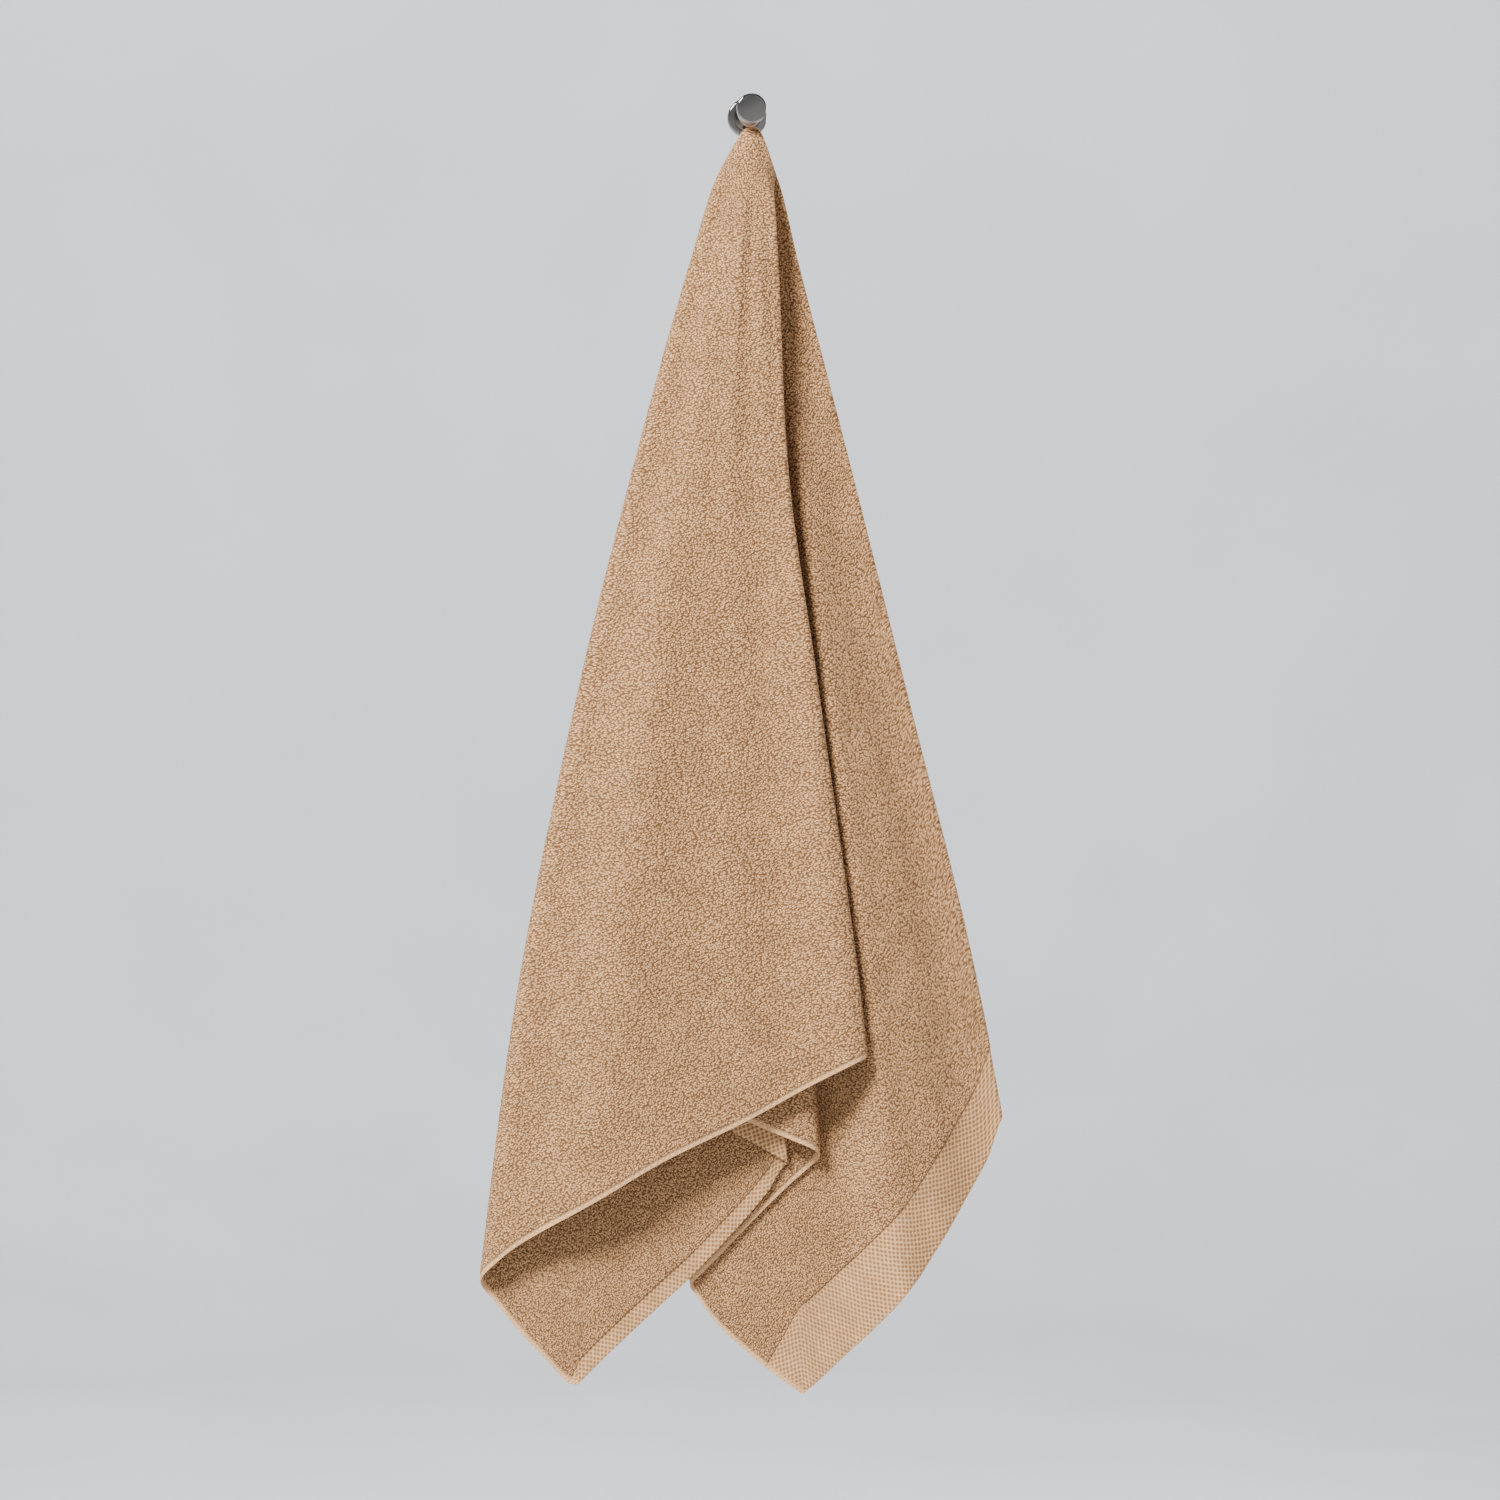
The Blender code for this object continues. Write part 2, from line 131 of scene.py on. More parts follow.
# Rows of points: even steps first, then rows at these distances from the towel's edge
EDGE_ROWS = (56.0, 50.5, 49.0, 47.5, 46.0, 38.0, 30.0, 23.0, 17.0, 15.2, 14.2, 13.2, 9.5,
             6.6, 5.6, 4.8, 4.0, 2.4, 1.0, 0.3, 0.0)
EVEN_ROWS, ROW_CROWDING, MEAN_REACH = 98, 1.5, 800.0
PILE, FLAT_WEAVE, EDGE = 1.35, 0.7, 0.4      # from the cloth's middle to each surface
BORDER, END_HEM, SIDE_HEM = 48.0, 14.0, 4.0  # flat bands: face, reverse, long sides
BAND_STEP, HEM_STEP = (-1.0, 1.2), (-0.6, 1.0)  # where the pile rises, beside a band's edge
EDGE_TAPER = 2.4


def slopes(stops, values):
    """Slope at each stop of a smooth curve that never passes beyond its values."""
    steps = [(values[i + 1] - values[i]) / (stops[i + 1] - stops[i]) for i in range(len(stops) - 1)]
    inner = [0.0 if a * b <= 0 else 2 * a * b / (a + b) for a, b in zip(steps, steps[1:])]
    return [steps[0]] + inner + [steps[-1]]


def smooth_at(stops, values, place):
    """Value of the smooth curve through the stops; it runs straight on past the last one."""
    tangents = slopes(stops, values)
    if place >= stops[-1]:
        return values[-1] + tangents[-1] * (place - stops[-1])
    i = max(k for k in range(len(stops) - 1) if stops[k] <= place)
    gap = stops[i + 1] - stops[i]
    t = (place - stops[i]) / gap
    start = values[i] * (1 + 2 * t) * (1 - t) ** 2 + gap * tangents[i] * t * (1 - t) ** 2
    end = values[i + 1] * t * t * (3 - 2 * t) + gap * tangents[i + 1] * t * t * (t - 1)
    return start + end


def ease(place, start, end):
    """0 before the start, 1 after the end, and a soft rise between them."""
    t = min(max((place - start) / (end - start), 0.0), 1.0)
    return t * t * (3 - 2 * t)


def fold_place(fold, reach):
    return smooth_at(REACHES, FOLDS[fold][3], reach)


def side_places(reach):
    return fold_place(LEFT_SIDE, reach), fold_place(RIGHT_SIDE, reach)


def layer_depth(layer, reach):
    return (layer - MIDDLE_LAYER) * smooth_at(REACHES, LAYER_PITCH, reach)


def half_turn(fold, panel, reach):
    """The quarter of a fold that lies on one panel: its place, mid depth, rise and full bulge."""
    panel_end = 1 if fold == panel else 2
    own = layer_depth(PANELS[panel][panel_end], reach)
    if FOLDS[fold][1] == 0:
        return fold_place(fold, reach), own, 0.0, 0.0
    before = layer_depth(PANELS[fold - 1][2], reach)
    after = layer_depth(PANELS[fold][1], reach)
    middle = (before + after) / 2
    rise = own - middle
    return fold_place(fold, reach), middle, rise, min(abs(rise), DEEPEST_TURN)


def panel_point(panel, stop, reach):
    """Place and depth on a panel. stop: 0 to 1 on its first half turn, 1 to 2 on its flat
    part, 2 to 3 on its last half turn."""
    start, start_mid, start_rise, start_full = half_turn(panel, panel, reach)
    end, end_mid, end_rise, end_full = half_turn(panel + 1, panel, reach)
    heading = 1 if end > start else -1
    width = abs(end - start)
    room = width / max(start_full + end_full, 1e-6)
    start_bulge, end_bulge = start_full * min(room, 1.0), end_full * min(room, 1.0)
    bend = 2 * math.atan(min(room, 1.0))
    start_arc = math.hypot(start_bulge, start_rise) * ARC_TO_CHORD
    end_arc = math.hypot(end_bulge, end_rise) * ARC_TO_CHORD
    flat = max(width - start_bulge - end_bulge, 0.0)
    length = start_arc + flat + end_arc
    start_share, end_share = min(start_arc, TURN_SHARE * length), min(end_arc, TURN_SHARE * length)
    if stop <= 1:
        travel = start_share * stop
    elif stop <= 2:
        travel = start_share + (length - start_share - end_share) * (stop - 1)
    else:
        travel = length - end_share * (3 - stop)
    if travel < start_arc:
        turned = bend * travel / start_arc
        across = start + heading * start_bulge * (1 - math.cos(turned)) / (1 - math.cos(bend))
        return across, start_mid + start_rise * math.sin(turned) / math.sin(bend)
    if travel > length - end_arc:
        turned = bend * (length - travel) / end_arc
        across = end - heading * end_bulge * (1 - math.cos(turned)) / (1 - math.cos(bend))
        return across, end_mid + end_rise * math.sin(turned) / math.sin(bend)
    crossed = travel - start_arc
    first_layer, last_layer = PANELS[panel][1:3]
    change = ease(crossed, 0.0, max(LAYER_CHANGE * flat, 0.01))
    layer = first_layer + (last_layer - first_layer) * change
    return start + heading * (start_bulge + crossed), layer_depth(layer, reach)


def edge_reach(angle):
    """Distance from the hang point to the towel's edge, at an angle on the flat cloth."""
    radians = math.radians(angle)
    if abs(angle) <= CORNER_ANGLE:
        return CLOTH_ACROSS / math.cos(radians)
    return CLOTH_HALF_LENGTH / abs(math.sin(radians))


def turn_angle(fold):
    """Angle on the flat cloth that one half of a fold's turn takes at the towel's edge."""
    reach = edge_reach(FOLDS[fold][2])
    rise, bulge = half_turn(fold, fold - 1, reach)[2:] if FOLDS[fold][1] else (0.0, 0.0)
    return math.degrees(math.hypot(rise, bulge) * ARC_TO_CHORD / reach)


def columns():
    """One (panel, stop, cloth angle) for each line of points from the hang point to the edge."""
    lines = []
    for panel, (_, _, _, strips) in enumerate(PANELS):
        first = FOLDS[panel][2] + turn_angle(panel)
        last = FOLDS[panel + 1][2] - turn_angle(panel + 1)
        if FOLDS[panel][1]:
            for i in range(TURN_STRIPS):
                share = i / TURN_STRIPS
                lines.append((panel, share, first - turn_angle(panel) * (1 - share)))
        shares = [i / strips for i in range(strips + 1)]
        for corner in (-CORNER_ANGLE, CORNER_ANGLE):
            if first < corner < last:
                share = (corner - first) / (last - first)
                nearest = min(range(1, strips), key=lambda i: abs(shares[i] - share))
                shares[nearest] = share
        lines += [(panel, 1 + share, first + (last - first) * share) for share in shares]
        if FOLDS[panel + 1][1]:
            for i in range(1, TURN_STRIPS):
                share = i / TURN_STRIPS
                lines.append((panel, 2 + share, last + turn_angle(panel + 1) * share))
    return lines


def shares_along(places):
    """How far along a line of points each one lies, from 0 to 1."""
    travelled = [0.0]
    for here, there in zip(places, places[1:]):
        travelled.append(travelled[-1] + math.dist(here, there))
    return [distance / travelled[-1] for distance in travelled]


def hood_point(share, reach):
    """Near the hang point the cloth is one oval shell, open in a slit at the back."""
    left = smooth_at(HOOD_REACHES, HOOD_LEFT, reach)
    right = smooth_at(HOOD_REACHES, HOOD_RIGHT, reach)
    turned = math.radians(HOOD_START + HOOD_TURN * share)
    across = (left + right) / 2 + (right - left) / 2 * math.cos(turned)
    return across, smooth_at(HOOD_REACHES, HOOD_DEPTH, reach) * math.sin(turned)


def swell(panel, stop, across, reach):
    """How far a panel swells towards the room; its folds stay where they are."""
    left, right = side_places(reach)
    share = (across - left) / max(right - left, 1.0)
    inside = ease(stop, 0.0, SWELL_CLEAR) * ease(3.0 - stop, 0.0, SWELL_CLEAR)
    return inside * sum(
        rise * math.exp(-(((share - middle) / width) ** 2)) * ease(reach, start, full)
        for owner, middle, width, rise, start, full in SWELLS if owner == panel)


def cloth_point(column, hood_share, reach):
    """The point of the cloth's middle on a column at a distance from the hang point."""
    panel, stop, angle = column
    across, depth = panel_point(panel, stop, reach)
    left, right = side_places(reach)
    off_middle = min(abs(across - (left + right) / 2) / max((right - left) / 2, 1.0), 1.0)
    closing = SECTION_ROUNDING * (1 - ease(reach, HOOD_ENDS, HOOD_REACHES[3]))
    depth *= math.sqrt(1 - closing * off_middle ** 2)
    folded = ease(reach, HOOD_ENDS, FOLDS_BEGIN)
    hood_across, hood_depth = hood_point(hood_share, reach)
    across = hood_across + (across - hood_across) * folded
    depth = hood_depth + (depth - hood_depth) * folded - swell(panel, stop, across, reach)
    slack = smooth_at(SLACK_ANGLES, SLACK_SHARES, angle)
    hung = reach * (1 - ease(reach, HOOD_ENDS, SLACK_FULL) * slack)
    drop = math.sqrt(max(hung ** 2 - across ** 2 - depth ** 2, 0.0))
    x, y, z = HANG_POINT
    return x + across, y + depth, z - drop


def rows():
    """Share of the way to the towel's edge at each row of points."""
    last_even = 1 - EDGE_ROWS[0] / CLOTH_ACROSS
    even = [last_even * ((i + 1) / EVEN_ROWS) ** ROW_CROWDING for i in range(EVEN_ROWS)]
    return even[:-1] + [1 - distance / CLOTH_ACROSS for distance in EDGE_ROWS]


def surface_height(from_end, from_side, band):
    """Height of one surface over the cloth's middle: pile, or flat weave in its bands."""
    pile = (ease(from_end, band + BAND_STEP[0], band + BAND_STEP[1])
            * ease(from_side, SIDE_HEM + HEM_STEP[0], SIDE_HEM + HEM_STEP[1]))
    flat = EDGE + (FLAT_WEAVE - EDGE) * ease(min(from_end, from_side), 0.0, EDGE_TAPER)
    return flat + (PILE - flat) * pile


lines = columns()
hood_shares = shares_along([panel_point(p, s, HOOD_REACHES[3]) for p, s, _ in lines])
row_shares = rows()
middle = np.zeros((len(row_shares), len(lines), 3))
cloth_uv = np.zeros((len(row_shares), len(lines), 2))
for r, share_out in enumerate(row_shares):
    reaches = []
    for c, line in enumerate(lines):
        own = edge_reach(line[2])
        follow = ease(share_out, 0.0, EDGE_FOLLOWED)
        reaches.append(share_out * (MEAN_REACH + (own - MEAN_REACH) * follow))
        middle[r, c] = cloth_point(line, hood_shares[c], reaches[-1])
    for c, (line, along) in enumerate(zip(lines, shares_along(middle[r].tolist()))):
        settled = ease(reaches[c], FOLDS_BEGIN, CLOTH_SETTLED)
        angle = math.radians(180.0 * along - 90.0 + (line[2] + 90.0 - 180.0 * along) * settled)
        cloth_uv[r, c] = reaches[c] * math.sin(angle), reaches[c] * math.cos(angle)

# Each surface lies off the middle along the cloth's normal: the face first, then the reverse
along_row = np.gradient(middle, axis=1)
down_column = np.gradient(middle, axis=0)
normal = np.cross(down_column, along_row)
normal /= np.linalg.norm(normal, axis=2, keepdims=True)
from_end = CLOTH_HALF_LENGTH - np.abs(cloth_uv[:, :, 0])
from_side = np.minimum(CLOTH_ACROSS - cloth_uv[:, :, 1], cloth_uv[:, :, 1])
count = len(lines)
points, flat_places, faces, face_is_reverse = [], [], [], []
for side, band in ((1, BORDER), (-1, END_HEM)):
    first = len(points)
    apex = [HANG_POINT[0], HANG_POINT[1], HANG_POINT[2] + side * FLAT_WEAVE]
    points.append(apex)
    flat_places.append((0.0, 0.0))
    for r in range(len(row_shares)):
        near_top = ease(row_shares[r] * MEAN_REACH, 0.0, FOLDS_BEGIN)
        for c in range(count):
            height = surface_height(from_end[r, c], from_side[r, c], band)
            height = FLAT_WEAVE + (height - FLAT_WEAVE) * near_top
            points.append((middle[r, c] + side * height * normal[r, c]).tolist())
            flat_places.append(tuple(cloth_uv[r, c]))
    quads = [(first, first + 1 + c, first + 2 + c) for c in range(count - 1)]
    for r in range(len(row_shares) - 1):
        start = first + 1 + r * count
        quads += [(start + c, start + count + c, start + count + c + 1, start + c + 1)
                  for c in range(count - 1)]
    faces += [quad if side > 0 else quad[::-1] for quad in quads]
    face_is_reverse += [side < 0] * len(quads)
half = len(points) // 2
last_row = 1 + (len(row_shares) - 1) * count
rim = [0] + [1 + r * count for r in range(len(row_shares))]
rim += [last_row + c for c in range(1, count)]
rim += [1 + r * count + count - 1 for r in reversed(range(len(row_shares) - 1))]
for a, b in zip(rim, rim[1:] + rim[:1]):
    faces.append((b, a, a + half, b + half))
    face_is_reverse.append(False)

mesh = bpy.data.meshes.new("towel.terry")
mesh.from_pydata([[v * MM for v in point] for point in points], [], faces)
mesh.polygons.foreach_set("material_index", [int(r) for r in face_is_reverse])
flat_map = mesh.uv_layers.new(name="cloth")
for loop in mesh.loops:
    u, v = flat_places[loop.vertex_index]
    flat_map.data[loop.index].uv = (u * MM, v * MM)
mesh.shade_smooth()
mesh.validate()
towel = bpy.data.objects.new("towel.terry", mesh)
bpy.context.scene.collection.objects.link(towel)


class Nodes:
    """A material's node tree, filled one node a call."""

    def __init__(self, name):
        self.material = bpy.data.materials.new(name)
        self.material.use_nodes = True
        self.tree = self.material.node_tree
        self.shader = self.tree.nodes["Principled BSDF"]

    def set(self, socket, value):
        if isinstance(value, bpy.types.NodeSocket):
            self.tree.links.new(value, socket)
        else:
            socket.default_value = value

    def add(self, kind, inputs, out=0, **settings):
        """A new node with its inputs by name, each a value or another node's output."""
        new = self.tree.nodes.new(kind)
        for key, value in settings.items():
            setattr(new, key, value)
        for name, value in inputs.items():
            self.set(new.inputs[name], value)
        return new.outputs[out]

    def math(self, operation, *values):
        new = self.tree.nodes.new("ShaderNodeMath")
        new.operation = operation
        for socket, value in zip(new.inputs, values):
            self.set(socket, value)
        return new.outputs[0]

    def step(self, value, low, high, to_low=0.0, to_high=1.0):
        """A soft step: to_low where the value is low, to_high where it is high."""
        return self.add("ShaderNodeMapRange", {
            "Value": value, "From Min": low, "From Max": high, "To Min": to_low,
            "To Max": to_high}, interpolation_type="SMOOTHSTEP")

    def mix(self, share, one, other):
        """Two colours mixed: the other one where share is 1."""
        new = self.tree.nodes.new("ShaderNodeMix")
        new.data_type = "RGBA"
        for socket, value in zip((new.inputs[0], new.inputs[6], new.inputs[7]), (share, one, other)):
            self.set(socket, value)
        return new.outputs[2]

    def blend(self, share, one, other):
        """Two numbers mixed: the other one where share is 1."""
        new = self.tree.nodes.new("ShaderNodeMix")
        for socket, value in zip((new.inputs[0], new.inputs[2], new.inputs[3]), (share, one, other)):
            self.set(socket, value)
        return new.outputs[0]

    def finish(self, **values):
        """Sets or links the shader's own inputs; an underscore stands for a space."""
        for name, value in values.items():
            self.set(self.shader.inputs[name.replace("_", " ")], value)
        return self.material


LOOP_SIZE = 0.0016            # metres from one loop of the pile to the next
PIT_SIZE = 0.0036             # metres from one pit of the flat weave to the next
STITCH = 0.0032               # metres from one stitch of a hem to the next
LOOP_WANDER = (0.0011, 0.0011, 0.0)
WANDER_SCALE, YARN_SCALE, PATCH_SCALE = 260.0, 1300.0, 40.0
YARN_SHARE, NET_SHARE = 0.6, 0.35    # heights of the yarn's hairs and of the net, loops being 1
LOOP_TONES, PATCH_TONES = (0.6, 1.2), (0.91, 1.06)
# how much darker the painted shadow along a band's edge and the side hem's stitches are
SHADOW_AND_STITCH_DARKENING, PILE_DEPTH = 0.45, 0.0010
SHEEN = (1.0, 0.78, 0.55, 1.0)
TERRY = (0.80, 0.455, 0.22, 1.0)
# painted shade: the colour the pile takes low down between its loops, where shade falls
TERRY_GAP_SHADE = (0.18, 0.09, 0.04, 1.0)
FLAT_COTTON = (0.70, 0.41, 0.20, 1.0)
# painted shade: the colour inside the pits of the flat weave and of the hanger tape
FLAT_PIT_SHADE = (0.27, 0.14, 0.062, 1.0)


def terry_material(name, band):
    """Looped pile, with flat woven bands: band is their width at the short ends."""
    nodes = Nodes(name)
    uv = nodes.add("ShaderNodeUVMap", {}, uv_map="cloth")
    u = nodes.add("ShaderNodeSeparateXYZ", {"Vector": uv}, out=0)
    v = nodes.add("ShaderNodeSeparateXYZ", {"Vector": uv}, out=1)
    from_end = nodes.math("SUBTRACT", CLOTH_HALF_LENGTH * MM, nodes.math("ABSOLUTE", u))
    from_side = nodes.math("MINIMUM", v, nodes.math("SUBTRACT", CLOTH_ACROSS * MM, v))

    # pile: round loops in loose rows, no two of the same tone, each painted darker towards its foot
    # as painted shade between the loops
    wander = nodes.add("ShaderNodeTexNoise", {"Vector": uv, "Scale": WANDER_SCALE, "Detail": 1.0},
                       out=1, noise_dimensions="2D")
    moved = nodes.add("ShaderNodeVectorMath", {0: wander, 1: LOOP_WANDER, 2: uv},
                      operation="MULTIPLY_ADD")
    loops = {"Vector": moved, "Scale": 1 / LOOP_SIZE, "Randomness": 1.0}
    from_loop = nodes.add("ShaderNodeTexVoronoi", loops, voronoi_dimensions="2D")
    own_tone = nodes.add("ShaderNodeTexVoronoi", loops, out=1, voronoi_dimensions="2D")
    loop_rise = nodes.step(from_loop, 0.72, 0.12)
    yarn = nodes.add("ShaderNodeTexNoise", {"Vector": uv, "Scale": YARN_SCALE, "Detail": 2.0},
                     noise_dimensions="2D")
    pile_height = nodes.math("MULTIPLY_ADD", yarn, YARN_SHARE, loop_rise)
    tone = nodes.add("ShaderNodeSeparateColor", {"Color": own_tone})
    # random tone per loop, times painted shade that darkens each loop towards its foot
    loop_tone_and_gap_shade = nodes.math("MULTIPLY", loop_rise, nodes.step(tone, 0.0, 1.0, *LOOP_TONES))
    terry = nodes.mix(loop_tone_and_gap_shade, TERRY_GAP_SHADE, TERRY)

    # flat bands: a net of small pits, painted darker as painted shade inside them
    turned = nodes.add("ShaderNodeMapping", {
        "Vector": uv, "Rotation": (0.0, 0.0, math.radians(45)), "Scale": (1.0, 1.15, 1.0)})
    from_pit = nodes.add("ShaderNodeTexVoronoi", {
        "Vector": turned, "Scale": 1 / PIT_SIZE, "Randomness": 0.15}, voronoi_dimensions="2D")
    net_rise = nodes.step(from_pit, 0.16, 0.62)
    woven = nodes.mix(net_rise, FLAT_PIT_SHADE, FLAT_COTTON)

    # which of the two shows; a line of painted shadow where the pile steps down to a band, and the
    # side hem's stitches
    end_band = nodes.step(from_end, band * MM + 0.0006, band * MM - 0.0006)
    side_band = nodes.step(from_side, SIDE_HEM * MM + 0.0005, SIDE_HEM * MM - 0.0005)
    flat = nodes.math("MAXIMUM", end_band, side_band)
    height = nodes.blend(flat, pile_height, nodes.math("MULTIPLY", net_rise, NET_SHARE))
    cloth = nodes.mix(flat, terry, nodes.mix(side_band, woven, FLAT_COTTON))
    # painted shadow: a thin dark line where the pile steps down to the flat band
    off_pile_edge = nodes.math("ABSOLUTE", nodes.math("SUBTRACT", from_end, band * MM))
    pile_edge_shadow = nodes.step(off_pile_edge, 0.0009, 0.0002)
    off_stitch = nodes.math("ABSOLUTE", nodes.math("SUBTRACT", from_side, 0.8 * SIDE_HEM * MM))
    dash = nodes.math("PINGPONG", nodes.math("ADD", u, v), STITCH / 2)
    stitched = nodes.math("MULTIPLY", nodes.step(off_stitch, 0.0007, 0.0002),
                          nodes.step(dash, 0.0002, 0.0007))
    shadow_and_stitches = nodes.math("MAXIMUM", pile_edge_shadow, stitched)
    patches = nodes.add("ShaderNodeTexNoise", {"Vector": uv, "Scale": PATCH_SCALE, "Detail": 4.0},
                        noise_dimensions="2D")
    unshaded = nodes.math("SUBTRACT", 1.0, nodes.math("MULTIPLY", shadow_and_stitches, SHADOW_AND_STITCH_DARKENING))
    lightness = nodes.math("MULTIPLY", nodes.step(patches, 0.3, 0.7, *PATCH_TONES), unshaded)
    colour = nodes.add("ShaderNodeHueSaturation", {"Value": lightness, "Color": cloth})
    bump = nodes.add("ShaderNodeBump", {"Strength": 1.0, "Distance": PILE_DEPTH, "Height": height})
    return nodes.finish(
        Base_Color=colour, Normal=bump, Roughness=0.95, Sheen_Weight=0.15, Sheen_Roughness=0.4,
        Sheen_Tint=SHEEN, Specular_IOR_Level=0.05)


mesh.materials.append(terry_material("terry.face", BORDER))
mesh.materials.append(terry_material("terry.reverse", END_HEM))
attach(towel, "root")
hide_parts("towel")


# Hook: solid brass turned on a lathe and plated with polished dark chrome. A round plate lies
# against the wall, a stem flares into it, and a flat knob keeps the loop on.
HOOK_SIDES = 96
PLATE = ((0.0, 15.5), (-5.5, 15.5), (-6.5, 14.5))                    # y and radius
STEM = ((-6.8, 10.5), (-7.8, 9.6), (-9.8, 8.9), (-13.8, 8.5), (-50.7, 8.5))
KNOB = ((-51.0, 11.2), (-51.5, 11.7), (-56.0, 11.7), (-57.0, 10.7))
HOOK_PIECES = (("hook_plate", PLATE, 0.25), ("hook_stem", STEM, 0.1), ("hook_knob", KNOB, 0.25))
BROKEN_FROM, BROKEN_STEPS, SMOOTH_UNDER = math.radians(30), 3, math.radians(25)
DARK_CHROME, POLISH, SMEAR = (0.31, 0.295, 0.28, 1.0), 0.07, 0.05


def turned_piece(name, profile, edge):
    """A round blank drawn out ring by ring from the wall end, its edges broken."""
    bpy.ops.object.select_all(action="DESELECT")
    (y, radius), *rest = profile
    bpy.ops.mesh.primitive_circle_add(
        vertices=HOOK_SIDES, radius=radius * MM, fill_type="NGON", location=(0.0, y * MM, 0.0),
        rotation=(math.radians(90), 0.0, 0.0))
    piece = bpy.context.object
    piece.name = name
    bpy.ops.object.transform_apply(location=True, rotation=True, scale=True)
    bpy.ops.object.mode_set(mode="EDIT")
    bpy.ops.mesh.select_all(action="SELECT")
    for next_y, next_radius in rest:
        bpy.ops.mesh.extrude_region_move(
            TRANSFORM_OT_translate={"value": (0.0, (next_y - y) * MM, 0.0)})
        bpy.ops.transform.resize(value=(next_radius / radius, 1.0, next_radius / radius),
                                 center_override=(0.0, next_y * MM, 0.0))
        y, radius = next_y, next_radius
    bpy.ops.mesh.select_all(action="SELECT")
    bpy.ops.mesh.normals_make_consistent(inside=False)
    bpy.ops.object.mode_set(mode="OBJECT")
    bevel = piece.modifiers.new("broken edges", "BEVEL")
    bevel.width, bevel.segments, bevel.angle_limit = edge * MM, BROKEN_STEPS, BROKEN_FROM
    bpy.ops.object.modifier_apply(modifier=bevel.name)
    bpy.ops.object.shade_smooth_by_angle(angle=SMOOTH_UNDER)
    piece.data.name = name
    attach(piece, "root")
    return piece


def chrome_material():
    nodes = Nodes("dark chrome")
    place = nodes.add("ShaderNodeTexCoord", {}, out=3)
    smear = nodes.add("ShaderNodeTexNoise", {"Vector": place, "Scale": 120.0, "Detail": 3.0})
    return nodes.finish(Base_Color=DARK_CHROME, Metallic=1.0,
                        Roughness=nodes.step(smear, 0.3, 0.8, POLISH, POLISH + SMEAR))


chrome = chrome_material()
for node, profile, edge in HOOK_PIECES:
    piece = turned_piece(node.replace("_", "."), profile, edge)
    piece.data.materials.append(chrome)
    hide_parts(node)


# Hanger loop: a flat woven cotton tape, folded into a loop, sewn to the middle of the towel's
# long side and hung over the hook's stem.
TAPE_RADIUS, TAPE_THICKNESS, TAPE_WIDTH = 8.8, 1.2, 8.0
TAPE_BOTTOM = HANG_POINT[2] + 0.9
TAPE_STEPS, TAPE_ROUND = 72, 0.35
TAPE_WEAVE, TAPE_DEPTH = 1200.0, 0.0004


def tape_ring(out, aside):
    """A ring of points round the stem that comes to a point over the towel."""
    ring = []
    for i in range(TAPE_STEPS):
        turned = 2 * math.pi * i / TAPE_STEPS
        radius = TAPE_RADIUS + out
        lowest = TAPE_BOTTOM + TAPE_THICKNESS - out
        pull = max(-math.cos(turned), 0.0) ** 3
        ring.append((radius * math.sin(turned) * MM, (HANG_POINT[1] + aside) * MM,
                     (radius * math.cos(turned) + (lowest + radius) * pull) * MM))
    return ring


def hanger_tape():
    half, r = TAPE_WIDTH / 2, TAPE_ROUND
    section = ((0.0, -half + r), (0.0, half - r), (r, half), (TAPE_THICKNESS - r, half),
               (TAPE_THICKNESS, half - r), (TAPE_THICKNESS, -half + r),
               (TAPE_THICKNESS - r, -half), (r, -half))
    rings = [tape_ring(out, aside) for out, aside in section]
    points = [point for ring in rings for point in ring]
    faces, places = [], []
    for k in range(len(section)):
        a, b = k * TAPE_STEPS, (k + 1) % len(section) * TAPE_STEPS
        for i in range(TAPE_STEPS):
            j = (i + 1) % TAPE_STEPS
            faces.append((a + i, a + j, b + j, b + i))
            places.append(((i, k), (i + 1, k), (i + 1, k + 1), (i, k + 1)))
    data = bpy.data.meshes.new("hanger.loop")
    data.from_pydata(points, [], faces)
    tape_map = data.uv_layers.new(name="tape")
    for loop, place in zip(tape_map.data, [p for four in places for p in four]):
        along = 2 * math.pi * TAPE_RADIUS * MM * place[0] / TAPE_STEPS
        loop.uv = (along, place[1] * 0.25 * TAPE_WIDTH * MM)
    data.shade_smooth()
    tape = bpy.data.objects.new("hanger.loop", data)
    bpy.context.scene.collection.objects.link(tape)
    return tape


def tape_material():
    nodes = Nodes("tape")
    uv = nodes.add("ShaderNodeUVMap", {}, uv_map="tape")
    weave = nodes.add("ShaderNodeTexVoronoi", {"Vector": uv, "Scale": TAPE_WEAVE, "Randomness": 0.1},
                      voronoi_dimensions="2D")
    rise = nodes.step(weave, 0.6, 0.15)
    bump = nodes.add("ShaderNodeBump", {"Strength": 0.7, "Distance": TAPE_DEPTH, "Height": rise})
    # the tape's weave is painted darker in its pits, as painted shade
    return nodes.finish(Base_Color=nodes.mix(rise, FLAT_PIT_SHADE, FLAT_COTTON), Normal=bump,
                        Roughness=0.9, Sheen_Weight=0.2, Sheen_Roughness=0.4)


tape = hanger_tape()
tape.data.materials.append(tape_material())
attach(tape, "root")
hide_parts("hanger_loop")


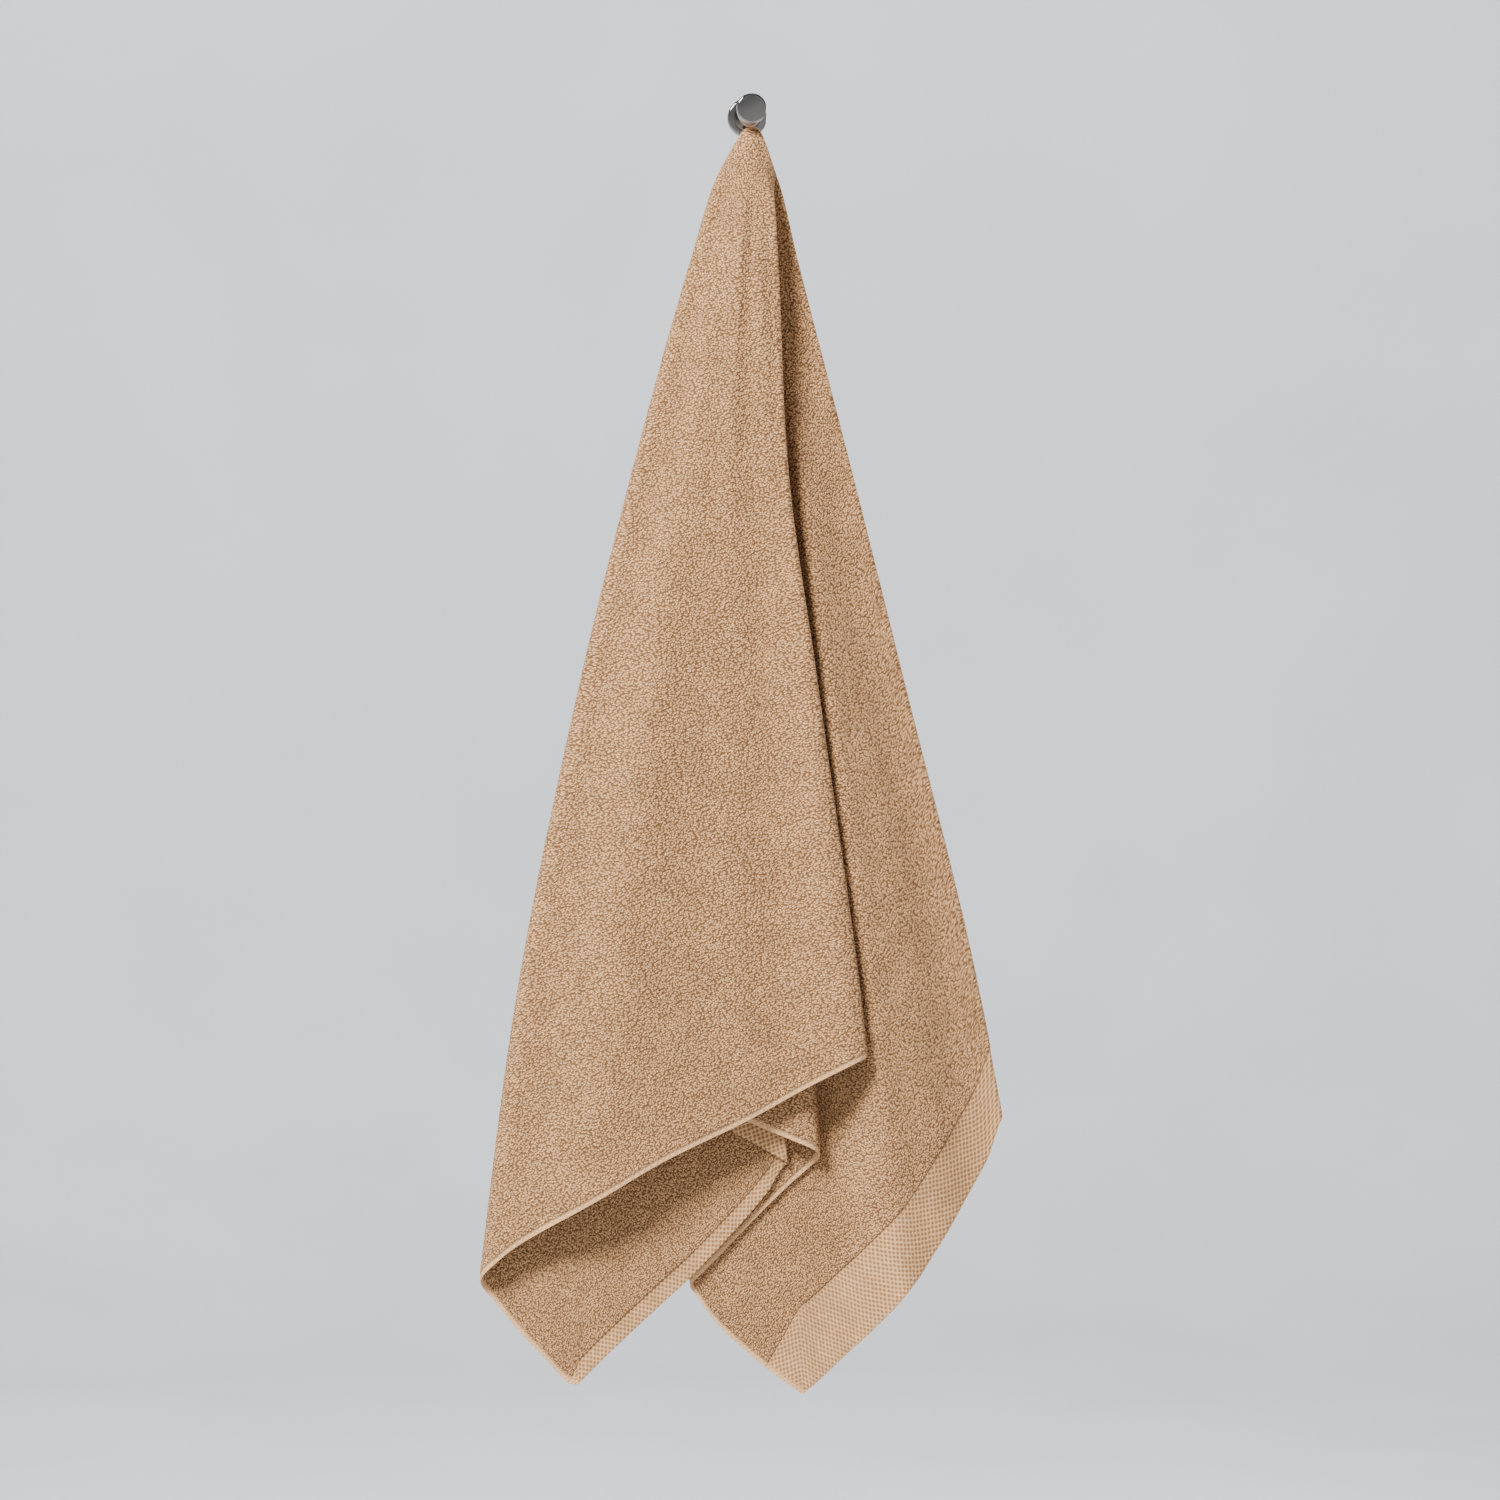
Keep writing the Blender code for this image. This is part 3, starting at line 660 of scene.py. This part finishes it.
# Studio: a pale floor that curves up into a pale surround, broad soft lights, and the camera
# where the photograph was taken from.
FLOOR, SURROUND_RADIUS, SURROUND_TOP = -1.6, 6.0, 3.0          # metres
CURVE, CURVE_STEPS, SURROUND_SIDES = 1.8, 8, 64                # metres, then counts
PAINT, PAINT_CLOUDS = (0.47, 0.48, 0.50, 1.0), (0.50, 0.51, 0.53, 1.0)
LIGHTS = (
    # name, place, what it is aimed at, size in metres, power in watts, colour
    ("key", (-2.20, -3.40, 2.60), (0.0, 0.0, -0.5), 1.5, 720.0, (1.0, 0.97, 0.93)),
    ("rim", (2.3, 1.2, 0.3), (0.0, 0.0, -0.5), 0.9, 75.0, (1.0, 0.98, 0.96)),
    ("backdrop", (0.0, 1.2, 2.6), (0.0, 6.0, -0.5), 1.6, 420.0, (0.97, 0.98, 1.0)),
)
AIR, AIR_STRENGTH = (0.86, 0.90, 0.96, 1.0), 0.08
CAMERA_PLACE, CAMERA_TURN = (-0.2304, -3.3319, -0.4983), (90.0, 0.0, -4.0)
LENS, SENSOR = 101.54, 36.0                                    # millimetres


def surround():
    """A round floor whose rim is drawn up, ring by ring, into a curve and then a wall."""
    bpy.ops.object.select_all(action="DESELECT")
    radius, z = SURROUND_RADIUS - CURVE, FLOOR
    bpy.ops.mesh.primitive_circle_add(vertices=SURROUND_SIDES, radius=radius, fill_type="TRIFAN",
                                      location=(0.0, 0.0, z))
    floor = bpy.context.object
    floor.name = "floor"
    bpy.ops.object.transform_apply(location=True, rotation=True, scale=True)
    rings = []
    for step in range(1, CURVE_STEPS + 1):
        turned = math.radians(90.0 * step / CURVE_STEPS)
        rings.append((SURROUND_RADIUS - CURVE + CURVE * math.sin(turned),
                      FLOOR + CURVE * (1 - math.cos(turned))))
    rings.append((SURROUND_RADIUS, SURROUND_TOP))
    bpy.ops.object.mode_set(mode="EDIT")
    bpy.ops.mesh.select_mode(type="EDGE")
    bpy.ops.mesh.select_all(action="DESELECT")
    bpy.ops.mesh.select_non_manifold()
    for next_radius, next_z in rings:
        bpy.ops.mesh.extrude_region_move(
            TRANSFORM_OT_translate={"value": (0.0, 0.0, next_z - z)})
        bpy.ops.transform.resize(value=(next_radius / radius, next_radius / radius, 1.0),
                                 center_override=(0.0, 0.0, next_z))
        radius, z = next_radius, next_z
    bpy.ops.object.mode_set(mode="OBJECT")
    bpy.ops.object.shade_smooth()
    floor.data.name = "floor"
    paint = Nodes("floor paint")
    place = paint.add("ShaderNodeTexCoord", {}, out=3)
    cloud = paint.add("ShaderNodeTexNoise", {"Vector": place, "Scale": 2.0})
    tone = paint.mix(paint.step(cloud, 0.3, 0.7), PAINT, PAINT_CLOUDS)
    floor.data.materials.append(paint.finish(Base_Color=tone, Roughness=0.95))


def soft_light(name, place, aim, size, power, colour):
    data = bpy.data.lights.new(name, "AREA")
    data.shape, data.size, data.energy, data.color = "DISK", size, power, colour
    obj = bpy.data.objects.new(name, data)
    obj.location = place
    direction = [b - a for a, b in zip(place, aim)]
    obj.rotation_euler = (
        math.atan2(math.hypot(direction[0], direction[1]), -direction[2]), 0.0,
        math.atan2(direction[1], direction[0]) - math.pi / 2)
    bpy.context.scene.collection.objects.link(obj)


surround()
for light in LIGHTS:
    soft_light(*light)

world = bpy.data.worlds.new("studio air")
world.use_nodes = True
air = world.node_tree.nodes["Background"]
air.inputs["Color"].default_value = AIR
air.inputs["Strength"].default_value = AIR_STRENGTH
bpy.context.scene.world = world

camera_data = bpy.data.cameras.new("camera")
camera_data.lens, camera_data.sensor_width = LENS, SENSOR
camera = bpy.data.objects.new("camera", camera_data)
camera.location = CAMERA_PLACE
camera.rotation_euler = [math.radians(angle) for angle in CAMERA_TURN]
bpy.context.scene.collection.objects.link(camera)
bpy.context.scene.camera = camera
